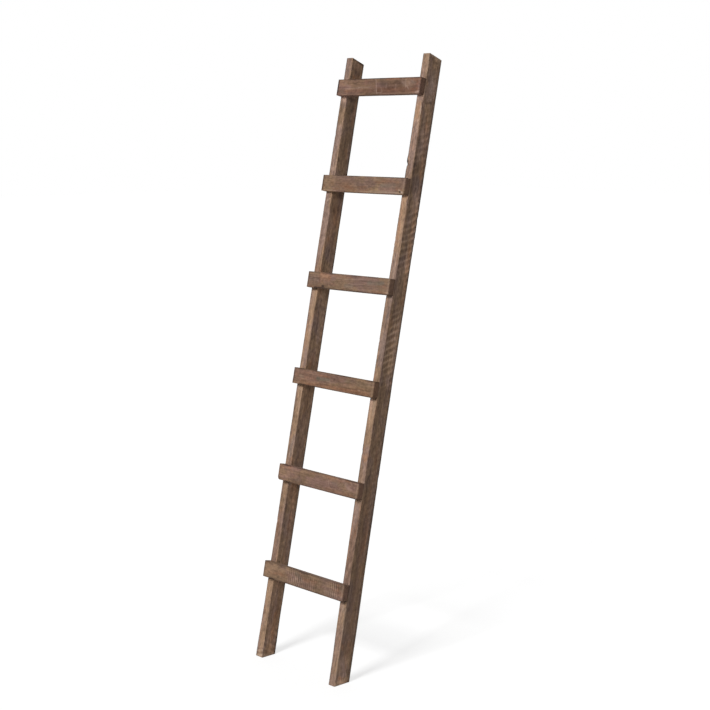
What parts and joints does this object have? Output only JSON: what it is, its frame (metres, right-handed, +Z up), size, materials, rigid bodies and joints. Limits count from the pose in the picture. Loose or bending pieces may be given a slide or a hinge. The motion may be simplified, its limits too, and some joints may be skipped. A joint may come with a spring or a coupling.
{
  "type": "display ladder",
  "caption": "Leaning display ladder of rough-sawn brown-stained wood, with flat rungs nailed across the fronts of its uprights, for hanging blankets and towels.",
  "frame": {"origin": "on the floor, at the middle of the space that the leaning ladder covers", "axes": "+Z up, +Y back to the wall, +X to the right as seen from the front; the ladder leans 11.75 degrees back from +Z"},
  "size_m": [0.3664, 0.4358, 1.8651],
  "materials": {
    "stringer_wood": "rough-sawn, brown stain, unvarnished",
    "rung_wood": "rough-sawn, brown stain, unvarnished",
    "nail_steel": "dull dark steel"
  },
  "bodies": {
    "root": {"left_stringer": "stringer_wood", "right_stringer": "stringer_wood", "rung_1": "rung_wood", "rung_2": "rung_wood", "rung_3": "rung_wood", "rung_4": "rung_wood", "rung_5": "rung_wood", "rung_6": "rung_wood", "rung_1_left_nails": "nail_steel", "rung_1_right_nails": "nail_steel", "rung_2_left_nails": "nail_steel", "rung_2_right_nails": "nail_steel", "rung_3_left_nails": "nail_steel", "rung_3_right_nails": "nail_steel", "rung_4_left_nails": "nail_steel", "rung_4_right_nails": "nail_steel", "rung_5_left_nails": "nail_steel", "rung_5_right_nails": "nail_steel", "rung_6_left_nails": "nail_steel", "rung_6_right_nails": "nail_steel"}
  },
  "joints": []
}
